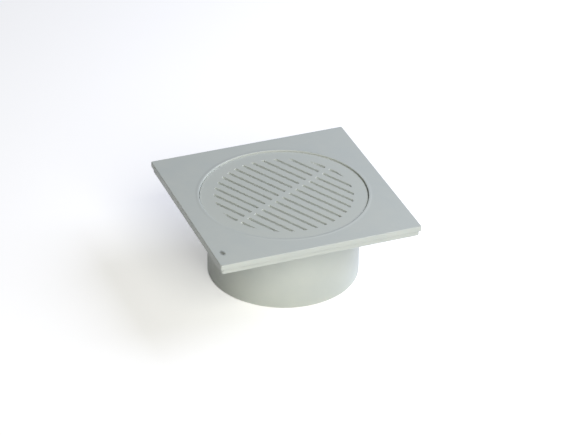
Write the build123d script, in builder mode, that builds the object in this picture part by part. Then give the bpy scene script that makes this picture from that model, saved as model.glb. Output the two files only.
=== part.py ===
from build123d import *
from math import isclose
import os

# Balcony drain: a square flange with a round recess and a pipe spigot under it,
# moulded in one piece, and a loose round slotted grate that lies in the recess.
# Millimetres, +Z up. The origin is the centre of the spigot's lower rim, so the
# drain stands on z = 0 and the top of its flange is at z = total_height.

# Overall sizes
total_height = 62.0
flange_width = 150.0
spigot_diameter = 110.0
spigot_wall = 3.2
spigot_lead = 1.0

# Edge of the flange: a lip at the top, and a rim set back under it
edge_height = 8.0
lip_height = 3.8
lip_overhang = 1.1
lip_corner_radius = 1.0
lip_top_radius = 0.5
rim_corner_radius = 1.8
rim_foot_edge = 0.6

# Hollow underside of the flange
top_skin = 3.0
rim_wall = 2.4
recess_wall = 2.8
rib_thickness = 2.0
rib_count = 16
rib_setback = 0.8
spigot_root = 1.5

# Round grate
grate_thickness = 3.5
grate_top_radius = 0.3
grate_foot_edge = 0.4

# Slots of the grate: parallel, cut off by a circle, and parted by one bar in the middle
slot_angle = 28.5
slot_pitch = 7.45
slot_width = 1.9
slot_margin = 0.4
slot_edge = 0.15
slot_edge_angle = 45.0
middle_bar_width = 4.0

# Underside of the grate: a ring that centres it, and a rib under the middle bar
ring_height = 4.0
ring_wall = 1.5
ring_lead = 0.4
middle_rib_thickness = 2.4

# Recess for the grate with the ledge that carries it, and the seat for its ring in the bore
ledge_width = 8.3
grate_drop = 1.0
grate_gap = 0.35
recess_edge = 0.25
ring_seat_step = 0.6
ring_seat_depth = 4.5
ring_seat_edge = 0.6
ring_gap = 0.5

# Old nick in the top of the flange, near one corner
nick_x = -68.7
nick_y = -61.9
nick_angle = 20.0
nick_width = 2.8
nick_length = 4.4
nick_depth = 1.0
nick_taper = 25.0

# Sizes that follow from those above
spigot_radius = spigot_diameter / 2
bore_radius = spigot_radius - spigot_wall
ring_seat_radius = bore_radius + ring_seat_step
ring_radius = ring_seat_radius - ring_gap
recess_radius = ring_seat_radius + ledge_width
grate_radius = recess_radius - grate_gap
recess_depth = grate_thickness + grate_drop
recess_outer_radius = recess_radius + recess_wall
flange_bottom = total_height - edge_height
lip_bottom = total_height - lip_height
rim_width = flange_width - 2 * lip_overhang
pocket_width = rim_width - 2 * rim_wall
rib_bottom = flange_bottom + rib_setback
grate_top = total_height - grate_drop
grate_bottom = grate_top - grate_thickness
slot_circle_radius = ring_radius - ring_wall - slot_margin
slot_count = 2 * int((slot_circle_radius - slot_width / 2) / slot_pitch + 0.5)

os.makedirs("parts", exist_ok=True)


def circles_of(part, radius):
    """The round edges of a part that have this radius, lowest first."""
    round_edges = part.edges().filter_by(GeomType.CIRCLE)
    return round_edges.filter_by(lambda edge: isclose(edge.radius, radius)).sort_by(Axis.Z)


# Drain body: flange, recess and spigot in one moulding
with BuildPart() as drain_body:

    # Rim of the flange, and the lip that stands out over it
    with BuildSketch(Plane.XY.offset(flange_bottom)):
        RectangleRounded(rim_width, rim_width, rim_corner_radius)
    extrude(amount=edge_height)
    with BuildSketch(Plane.XY.offset(lip_bottom)):
        RectangleRounded(flange_width, flange_width, lip_corner_radius)
    extrude(amount=lip_height)
    fillet(drain_body.faces().sort_by(Axis.Z)[-1].edges(), lip_top_radius)
    chamfer(drain_body.faces().sort_by(Axis.Z)[0].edges(), rim_foot_edge)

    # Pockets under the flange, with the ribs left standing between them
    with BuildSketch(Plane.XY.offset(flange_bottom)):
        Rectangle(pocket_width, pocket_width)
        Circle(recess_outer_radius, mode=Mode.SUBTRACT)
        with PolarLocations(flange_width / 2, rib_count):
            Rectangle(flange_width, rib_thickness, mode=Mode.SUBTRACT)
    extrude(amount=edge_height - top_skin, mode=Mode.SUBTRACT)

    # Ribs and recess stop a little above the foot of the rim
    with BuildSketch(Plane.XY.offset(flange_bottom)):
        Rectangle(pocket_width, pocket_width)
    extrude(amount=rib_setback, mode=Mode.SUBTRACT)

    # Spigot, with a lead at its foot that lets it enter a pipe socket
    with BuildSketch():
        Circle(spigot_radius)
    extrude(amount=rib_bottom)
    chamfer(circles_of(drain_body, spigot_radius)[0], spigot_lead, spigot_lead / 2)
    chamfer(circles_of(drain_body, spigot_radius)[-1], spigot_root)

    # Recess for the grate, the seat for its ring, and the bore
    with Locations((0, 0, total_height)):
        CounterBoreHole(ring_seat_radius, recess_radius, recess_depth, recess_depth + ring_seat_depth)
        Hole(bore_radius)
    chamfer(circles_of(drain_body, recess_radius)[-1], recess_edge)
    chamfer(circles_of(drain_body, ring_seat_radius)[-1], ring_seat_edge)

    # The nick: a small three-cornered pit
    with BuildSketch(Plane((nick_x, nick_y, total_height)).rotated((0, 0, nick_angle))):
        Polygon((0, 0), (nick_width, 0), (nick_width / 3, nick_length))
    extrude(amount=-nick_depth, taper=nick_taper, mode=Mode.SUBTRACT)

drain_body.part.label = "drain_body"
export_step(drain_body.part, "parts/drain_body.step")


# Round grate, which lies loose in the recess
with BuildPart() as round_grate:

    # Disc
    with BuildSketch(Plane.XY.offset(grate_bottom)):
        Circle(grate_radius)
    extrude(amount=grate_thickness)
    chamfer(circles_of(round_grate, grate_radius)[0], grate_foot_edge)
    fillet(circles_of(round_grate, grate_radius)[-1], grate_top_radius)

    # Slots, side by side along the middle bar: first cut through the disc with upright
    # walls, then cut wider and as deep as slot_edge, with sloping walls that bevel their edges
    for edge, depth, slope in ((0, grate_thickness, 0), (slot_edge, slot_edge, slot_edge_angle)):
        circle_radius = slot_circle_radius + edge
        with BuildSketch(Plane.XY.offset(grate_top).rotated((0, 0, slot_angle))):
            with GridLocations(slot_pitch, 0, slot_count, 1):
                Rectangle(slot_width + 2 * edge, 2 * circle_radius)
            Rectangle(2 * circle_radius, middle_bar_width - 2 * edge, mode=Mode.SUBTRACT)
            Circle(circle_radius, mode=Mode.INTERSECT)
        extrude(amount=-depth, taper=slope, mode=Mode.SUBTRACT)

    # Ring under the disc, and the rib that crosses it under the middle bar
    with BuildSketch(Plane.XY.offset(grate_bottom)):
        Circle(ring_radius)
        Circle(ring_radius - ring_wall, mode=Mode.SUBTRACT)
    extrude(amount=-ring_height)
    chamfer(circles_of(round_grate, ring_radius)[0], ring_lead)
    with BuildSketch(Plane.XY.offset(grate_bottom).rotated((0, 0, slot_angle))):
        Rectangle(2 * ring_radius, middle_rib_thickness)
        Circle(ring_radius - ring_wall / 2, mode=Mode.INTERSECT)
    extrude(amount=-ring_height)

round_grate.part.label = "round_grate"
export_step(round_grate.part, "parts/round_grate.step")
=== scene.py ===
from math import radians

import bpy
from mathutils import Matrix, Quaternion, Vector


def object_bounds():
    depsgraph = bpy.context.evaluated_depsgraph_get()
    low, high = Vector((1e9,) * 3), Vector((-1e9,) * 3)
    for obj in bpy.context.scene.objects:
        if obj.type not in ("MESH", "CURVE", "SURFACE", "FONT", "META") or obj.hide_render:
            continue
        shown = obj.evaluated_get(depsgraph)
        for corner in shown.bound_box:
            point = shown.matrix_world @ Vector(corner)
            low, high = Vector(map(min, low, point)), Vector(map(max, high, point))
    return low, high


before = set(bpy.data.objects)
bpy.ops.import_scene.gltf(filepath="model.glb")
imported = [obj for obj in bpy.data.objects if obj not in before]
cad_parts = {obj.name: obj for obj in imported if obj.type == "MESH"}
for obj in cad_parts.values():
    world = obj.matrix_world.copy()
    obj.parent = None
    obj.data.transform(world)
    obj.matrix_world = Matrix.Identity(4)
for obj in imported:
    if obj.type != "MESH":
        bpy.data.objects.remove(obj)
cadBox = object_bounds()
print("frame loaded:", ", ".join(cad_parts))


# Small helpers for node trees

def newGroup(name, inputs, outputs):
    # inputs are name, socket type, default; outputs are name, socket type
    group = bpy.data.node_groups.new(name, "ShaderNodeTree")
    for label, kind, value in inputs:
        socket = group.interface.new_socket(label, in_out="INPUT", socket_type=kind)
        socket.default_value = value
    for label, kind in outputs:
        group.interface.new_socket(label, in_out="OUTPUT", socket_type=kind)
    return group


def addNode(tree, kind, **settings):
    node = tree.nodes.new(kind)
    for key, value in settings.items():
        setattr(node, key, value)
    return node


def addMath(tree, operation, first, second=None, clamp=False):
    node = addNode(tree, "ShaderNodeMath", operation=operation, use_clamp=clamp)
    for index, value in enumerate((first, second)):
        if value is None:
            continue
        if isinstance(value, bpy.types.NodeSocket):
            tree.links.new(value, node.inputs[index])
        else:
            node.inputs[index].default_value = value
    return node.outputs[0]


def addRange(tree, value, fromMin, fromMax, toMin=0.0, toMax=1.0):
    node = addNode(tree, "ShaderNodeMapRange")
    tree.links.new(value, node.inputs["Value"])
    limits = {"From Min": fromMin, "From Max": fromMax, "To Min": toMin, "To Max": toMax}
    for label, amount in limits.items():
        node.inputs[label].default_value = amount
    return node.outputs["Result"]


def addMix(tree, mask, first, second):
    node = addNode(tree, "ShaderNodeMix", data_type="RGBA")
    tree.links.new(mask, node.inputs["Factor"])
    for label, value in (("A", first), ("B", second)):
        socket = [item for item in node.inputs if item.name == label and item.type == "RGBA"][0]
        if isinstance(value, bpy.types.NodeSocket):
            tree.links.new(value, socket)
        else:
            socket.default_value = value
    return [item for item in node.outputs if item.type == "RGBA"][0]


def placeGroup(tree, group, **values):
    node = addNode(tree, "ShaderNodeGroup", node_tree=group)
    for label, value in values.items():
        socket = node.inputs[label]
        if isinstance(value, bpy.types.NodeSocket):
            tree.links.new(value, socket)
        else:
            socket.default_value = value
    return node


# Shared effects

def makeMouldSkin():
    # faint cloudiness and fine texture that a moulded plastic surface keeps
    group = newGroup(
        "mouldSkin",
        [("Cloud Size", "NodeSocketFloat", 0.02), ("Grain Size", "NodeSocketFloat", 0.0008)],
        [("Cloud", "NodeSocketFloat"), ("Height", "NodeSocketFloat")],
    )
    start = addNode(group, "NodeGroupInput")
    end = addNode(group, "NodeGroupOutput")
    place = addNode(group, "ShaderNodeTexCoord").outputs["Object"]
    cloud = addNode(group, "ShaderNodeTexNoise")
    cloud.inputs["Detail"].default_value = 3.0
    group.links.new(place, cloud.inputs["Vector"])
    group.links.new(addMath(group, "DIVIDE", 1.0, start.outputs["Cloud Size"]), cloud.inputs["Scale"])
    grain = addNode(group, "ShaderNodeTexNoise")
    grain.inputs["Detail"].default_value = 2.0
    group.links.new(place, grain.inputs["Vector"])
    group.links.new(addMath(group, "DIVIDE", 1.0, start.outputs["Grain Size"]), grain.inputs["Scale"])
    waves = addMath(group, "MULTIPLY", cloud.outputs["Fac"], 0.6)
    group.links.new(addRange(group, cloud.outputs["Fac"], 0.3, 0.7), end.inputs["Cloud"])
    group.links.new(addMath(group, "ADD", waves, grain.outputs["Fac"]), end.inputs["Height"])
    return group


def makePaintedCreviceLight():
    # mask of the grooves, slots and inner corners, where a paler colour is painted in as painted light over
    # their shade, broken up a little
    group = newGroup(
        "paintedCreviceLight",
        [("Reach", "NodeSocketFloat", 0.002), ("Amount", "NodeSocketFloat", 0.5)],
        [("Mask", "NodeSocketFloat")],
    )
    start = addNode(group, "NodeGroupInput")
    end = addNode(group, "NodeGroupOutput")
    hollow = addNode(group, "ShaderNodeAmbientOcclusion", samples=16, only_local=False)
    group.links.new(start.outputs["Reach"], hollow.inputs["Distance"])
    speck = addNode(group, "ShaderNodeTexNoise")
    speck.inputs["Scale"].default_value = 350.0  # specks of about 3 mm
    speck.inputs["Detail"].default_value = 3.0
    group.links.new(addNode(group, "ShaderNodeTexCoord").outputs["Object"], speck.inputs["Vector"])
    closed = addRange(group, hollow.outputs["AO"], 0.75, 0.25)
    broken = addMath(group, "MULTIPLY", closed, addRange(group, speck.outputs["Fac"], 0.3, 0.7, 0.8, 1.0))
    mask = addMath(group, "MULTIPLY", broken, start.outputs["Amount"], clamp=True)
    group.links.new(mask, end.inputs["Mask"])
    return group


def makePitDarkSpot():
    # mask of one long spot on the surface, ragged at its rim
    group = newGroup(
        "pitDarkSpot",
        [
            ("Centre", "NodeSocketVector", (0.0, 0.0, 0.0)),
            ("Spread", "NodeSocketVector", (0.002, 0.002, 0.002)),
        ],
        [("Mask", "NodeSocketFloat")],
    )
    start = addNode(group, "NodeGroupInput")
    end = addNode(group, "NodeGroupOutput")
    place = addNode(group, "ShaderNodeTexCoord").outputs["Object"]
    away = addNode(group, "ShaderNodeVectorMath", operation="SUBTRACT")
    group.links.new(place, away.inputs[0])
    group.links.new(start.outputs["Centre"], away.inputs[1])
    share = addNode(group, "ShaderNodeVectorMath", operation="DIVIDE")
    group.links.new(away.outputs["Vector"], share.inputs[0])
    group.links.new(start.outputs["Spread"], share.inputs[1])
    reach = addNode(group, "ShaderNodeVectorMath", operation="LENGTH")
    group.links.new(share.outputs["Vector"], reach.inputs[0])
    ragged = addNode(group, "ShaderNodeTexNoise")
    ragged.inputs["Scale"].default_value = 900.0  # waves of about 1 mm
    group.links.new(place, ragged.inputs["Vector"])
    uneven = addRange(group, ragged.outputs["Fac"], 0.3, 0.7, -0.15, 0.15)
    rim = addMath(group, "ADD", reach.outputs["Value"], uneven)
    group.links.new(addRange(group, rim, 1.0, 0.4), end.inputs["Mask"])
    return group


def makeRimBead():
    # height of a low swelling, a ring round the upright axis, on what lies above a level
    group = newGroup(
        "rimBead",
        [
            ("Radius", "NodeSocketFloat", 0.062),
            ("Width", "NodeSocketFloat", 0.001),
            ("Level", "NodeSocketFloat", 0.06),
        ],
        [("Height", "NodeSocketFloat")],
    )
    start = addNode(group, "NodeGroupInput")
    end = addNode(group, "NodeGroupOutput")
    place = addNode(group, "ShaderNodeTexCoord").outputs["Object"]
    parts = addNode(group, "ShaderNodeSeparateXYZ")
    group.links.new(place, parts.inputs[0])
    squareX = addMath(group, "POWER", parts.outputs["X"], 2.0)
    squareY = addMath(group, "POWER", parts.outputs["Y"], 2.0)
    radius = addMath(group, "SQRT", addMath(group, "ADD", squareX, squareY))
    away = addMath(group, "ABSOLUTE", addMath(group, "SUBTRACT", radius, start.outputs["Radius"]))
    share = addMath(group, "DIVIDE", away, start.outputs["Width"])
    swell = addNode(group, "ShaderNodeMapRange", interpolation_type="SMOOTHSTEP")
    swell.inputs["From Min"].default_value = 1.0
    swell.inputs["From Max"].default_value = 0.0
    group.links.new(share, swell.inputs["Value"])
    above = addMath(group, "GREATER_THAN", parts.outputs["Z"], start.outputs["Level"])
    group.links.new(addMath(group, "MULTIPLY", swell.outputs["Result"], above), end.inputs["Height"])
    return group


def makeSoftEdge():
    # rounds the light over the edges, and masks them for a painted highlight along them
    group = newGroup(
        "softEdge",
        [("Radius", "NodeSocketFloat", 0.0004)],
        [("Painted Highlight", "NodeSocketFloat"), ("Normal", "NodeSocketVector")],
    )
    start = addNode(group, "NodeGroupInput")
    end = addNode(group, "NodeGroupOutput")
    bevel = addNode(group, "ShaderNodeBevel", samples=6)
    group.links.new(start.outputs["Radius"], bevel.inputs["Radius"])
    facing = addNode(group, "ShaderNodeVectorMath", operation="DOT_PRODUCT")
    group.links.new(bevel.outputs["Normal"], facing.inputs[0])
    group.links.new(addNode(group, "ShaderNodeNewGeometry").outputs["Normal"], facing.inputs[1])
    group.links.new(addRange(group, facing.outputs["Value"], 0.98, 0.8), end.inputs["Painted Highlight"])
    group.links.new(bevel.outputs["Normal"], end.inputs["Normal"])
    return group


mouldSkin = makeMouldSkin()
paintedCreviceLight = makePaintedCreviceLight()
softEdge = makeSoftEdge()
pitDarkSpot = makePitDarkSpot()
rimBead = makeRimBead()
print("shared effects made")


# Materials

def makePlastic(name, look):
    material = bpy.data.materials.new(name)
    material.use_nodes = True
    tree = material.node_tree
    shader = tree.nodes["Principled BSDF"]
    shader.inputs["IOR"].default_value = 1.53
    skin = placeGroup(tree, mouldSkin, **{"Cloud Size": look["cloudSize"], "Grain Size": look["grainSize"]})
    creviceLight = placeGroup(tree, paintedCreviceLight, Reach=look["creviceLightReach"], Amount=look["creviceLightAmount"])
    edge = placeGroup(tree, softEdge, Radius=look["edgeRadius"])
    colour = addMix(tree, skin.outputs["Cloud"], look["colour"], look["cloudColour"])
    # lighter colour along the edges: painted highlight of edges catching the light
    highlighted = addMath(tree, "MULTIPLY", edge.outputs["Painted Highlight"], look["edgeHighlightAmount"])
    colour = addMix(tree, highlighted, colour, look["edgeHighlightColour"])
    # paler colour in the grooves and slots: painted light over their shade
    colour = addMix(tree, creviceLight.outputs["Mask"], colour, look["creviceLightColour"])
    if "pitCentre" in look:
        # a dark ragged spot at the nick near one corner, darkest in its middle
        pit = placeGroup(tree, pitDarkSpot, Centre=look["pitCentre"], Spread=look["pitSpread"])
        darkenedSpot = addMath(tree, "MULTIPLY", pit.outputs["Mask"], look["pitAmount"])
        colour = addMix(tree, darkenedSpot, colour, look["pitColour"])
    smooth = look["roughness"] - look["roughnessSwing"]
    dull = look["roughness"] + look["roughnessSwing"]
    roughness = addRange(tree, skin.outputs["Cloud"], 0.0, 1.0, smooth, dull)
    bump = addNode(tree, "ShaderNodeBump")
    bump.inputs["Strength"].default_value = look["bumpStrength"]
    bump.inputs["Distance"].default_value = look["bumpDepth"]
    tree.links.new(skin.outputs["Height"], bump.inputs["Height"])
    normal = edge.outputs["Normal"]
    if "beadRadius" in look:
        place = {"Radius": look["beadRadius"], "Width": look["beadWidth"], "Level": look["beadLevel"]}
        bead = placeGroup(tree, rimBead, **place)
        swell = addNode(tree, "ShaderNodeBump")
        swell.inputs["Distance"].default_value = look["beadHeight"]
        tree.links.new(bead.outputs["Height"], swell.inputs["Height"])
        tree.links.new(normal, swell.inputs["Normal"])
        normal = swell.outputs["Normal"]
    tree.links.new(normal, bump.inputs["Normal"])
    tree.links.new(colour, shader.inputs["Base Color"])
    tree.links.new(roughness, shader.inputs["Roughness"])
    tree.links.new(bump.outputs["Normal"], shader.inputs["Normal"])
    return material


# lengths in metres
commonLook = {
    # the lighter edge colour is a painted highlight
    "edgeHighlightColour": (0.76, 0.80, 0.77, 1.0),
    "edgeHighlightAmount": 0.6,
    # the paler crevice colour is painted light in the grooves and slots
    "creviceLightColour": (0.82, 0.85, 0.83, 1.0),
    "creviceLightReach": 0.003,
    "cloudSize": 0.018,
    "grainSize": 0.0006,
    "roughness": 0.42,
    "roughnessSwing": 0.04,
    "bumpStrength": 0.12,
    "bumpDepth": 0.0001,
}

bodyLook = {
    **commonLook,
    "colour": (0.600, 0.637, 0.602, 1.0),
    "cloudColour": (0.568, 0.610, 0.585, 1.0),
    "edgeRadius": 0.0005,
    "creviceLightAmount": 0.8,
    "pitCentre": (-0.0682, -0.0594, 0.0615),  # the old nick near one corner
    "pitSpread": (0.0022, 0.0040, 0.0025),
    "pitAmount": 0.7,
    "pitColour": (0.11, 0.12, 0.115, 1.0),
    "beadRadius": 0.0618,  # the swelling round the recess for the grate
    "beadWidth": 0.0018,
    "beadLevel": 0.0612,
    "beadHeight": 0.00012,
}

grateLook = {
    **commonLook,
    "colour": (0.602, 0.636, 0.592, 1.0),
    "cloudColour": (0.578, 0.617, 0.582, 1.0),
    "edgeRadius": 0.0001,
    "creviceLightAmount": 0.55,
}

for node, look in (("drain_body", bodyLook), ("round_grate", grateLook)):
    plastic = makePlastic(node + "Plastic", look)
    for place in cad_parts[node].material_slots:
        place.material = plastic
print("plastics assigned")


# Floor, light and camera

floorLook = {
    "side": 8.0,
    "colour": (0.90, 0.90, 0.90, 1.0),
    "lift": 0.4,  # how much whiter the floor is seen than it is lit
    "pipeRadius": 0.055,  # the floor inside the spigot isn't lifted
}

def makeFloor(look):
    half = look["side"] / 2
    mesh = bpy.data.meshes.new("floor")
    corners = [(-half, -half, 0), (half, -half, 0), (half, half, 0), (-half, half, 0)]
    mesh.from_pydata(corners, [], [(0, 1, 2, 3)])
    floor = bpy.data.objects.new("floor", mesh)
    bpy.context.scene.collection.objects.link(floor)
    material = bpy.data.materials.new("paleFloor")
    material.use_nodes = True
    tree = material.node_tree
    shader = tree.nodes["Principled BSDF"]
    shader.inputs["Base Color"].default_value = look["colour"]
    shader.inputs["Roughness"].default_value = 0.9
    shader.inputs["Specular IOR Level"].default_value = 0.0
    shader.inputs["Emission Color"].default_value = (1.0, 1.0, 1.0, 1.0)
    rays = addNode(tree, "ShaderNodeLightPath")
    seen = addMath(tree, "MAXIMUM", rays.outputs["Is Camera Ray"], rays.outputs["Is Glossy Ray"])
    seen = addMath(tree, "MAXIMUM", seen, rays.outputs["Is Transmission Ray"])
    flat = addNode(tree, "ShaderNodeVectorMath", operation="LENGTH")
    tree.links.new(addNode(tree, "ShaderNodeTexCoord").outputs["Object"], flat.inputs[0])
    outside = addMath(tree, "GREATER_THAN", flat.outputs["Value"], look["pipeRadius"])
    lift = addMath(tree, "MULTIPLY", addMath(tree, "MULTIPLY", seen, outside), look["lift"])
    tree.links.new(lift, shader.inputs["Emission Strength"])
    mesh.materials.append(material)


lamps = {
    "front": {
        "azimuth": -4, "elevation": 36, "distance": 1.6, "width": 1.0, "height": 1.1,
        "power": 20.1, "colour": (1.0, 0.98, 0.89),
    },
    "right": {
        "azimuth": 93, "elevation": 42, "distance": 1.0, "width": 0.94, "height": 0.56,
        "power": 8.3, "colour": (0.79, 0.83, 1.0),
    },
}
worldLook = {"colour": (0.97, 0.99, 1.0, 1.0), "strength": 0.02}

def makeLamps(lampSet):
    middle = (cadBox[0] + cadBox[1]) / 2
    for name, lamp in lampSet.items():
        data = bpy.data.lights.new(name, "AREA")
        data.shape = "RECTANGLE"
        data.size = lamp["width"]
        data.size_y = lamp["height"]
        data.energy = lamp["power"]
        data.color = lamp["colour"]
        away = Vector((0, -1, 0))
        away.rotate(Quaternion((1, 0, 0), -radians(lamp["elevation"])))
        away.rotate(Quaternion((0, 0, 1), radians(lamp["azimuth"])))
        item = bpy.data.objects.new(name, data)
        item.location = middle + away * lamp["distance"]
        item.rotation_mode = "QUATERNION"
        item.rotation_quaternion = (-away).to_track_quat("-Z", "Y")
        bpy.context.scene.collection.objects.link(item)


def makeWorld(look):
    world = bpy.data.worlds.new("studio")
    bpy.context.scene.world = world
    world.use_nodes = True
    tree = world.node_tree
    light = tree.nodes["Background"]
    light.inputs["Color"].default_value = look["colour"]
    rays = addNode(tree, "ShaderNodeLightPath")
    white = addNode(tree, "ShaderNodeBackground")
    light.inputs["Strength"].default_value = look["strength"]
    choose = addNode(tree, "ShaderNodeMixShader")
    tree.links.new(rays.outputs["Is Camera Ray"], choose.inputs["Fac"])
    tree.links.new(light.outputs[0], choose.inputs[1])
    tree.links.new(white.outputs[0], choose.inputs[2])
    white.inputs["Color"].default_value = (1.0, 1.0, 1.0, 1.0)
    tree.links.new(choose.outputs[0], tree.nodes["World Output"].inputs["Surface"])


cameraLook = {
    "place": (-0.5975, -1.5229, 1.0563),
    "target": (0.0085, 0.0149, 0.0311),
    "roll": 0.712,
    "lens": 167.8,
    "sensor": 36.0,
}

def makeCamera(look):
    data = bpy.data.cameras.new("camera")
    data.lens = look["lens"]
    data.sensor_width = look["sensor"]
    item = bpy.data.objects.new("camera", data)
    item.location = look["place"]
    item.rotation_mode = "QUATERNION"
    aim = (Vector(look["target"]) - item.location).to_track_quat("-Z", "Y")
    item.rotation_quaternion = aim @ Quaternion((0, 0, 1), radians(look["roll"]))
    bpy.context.scene.collection.objects.link(item)
    bpy.context.scene.camera = item


makeFloor(floorLook)
makeLamps(lamps)
makeWorld(worldLook)
makeCamera(cameraLook)
bpy.context.scene.view_settings.view_transform = "Standard"
print("studio ready")
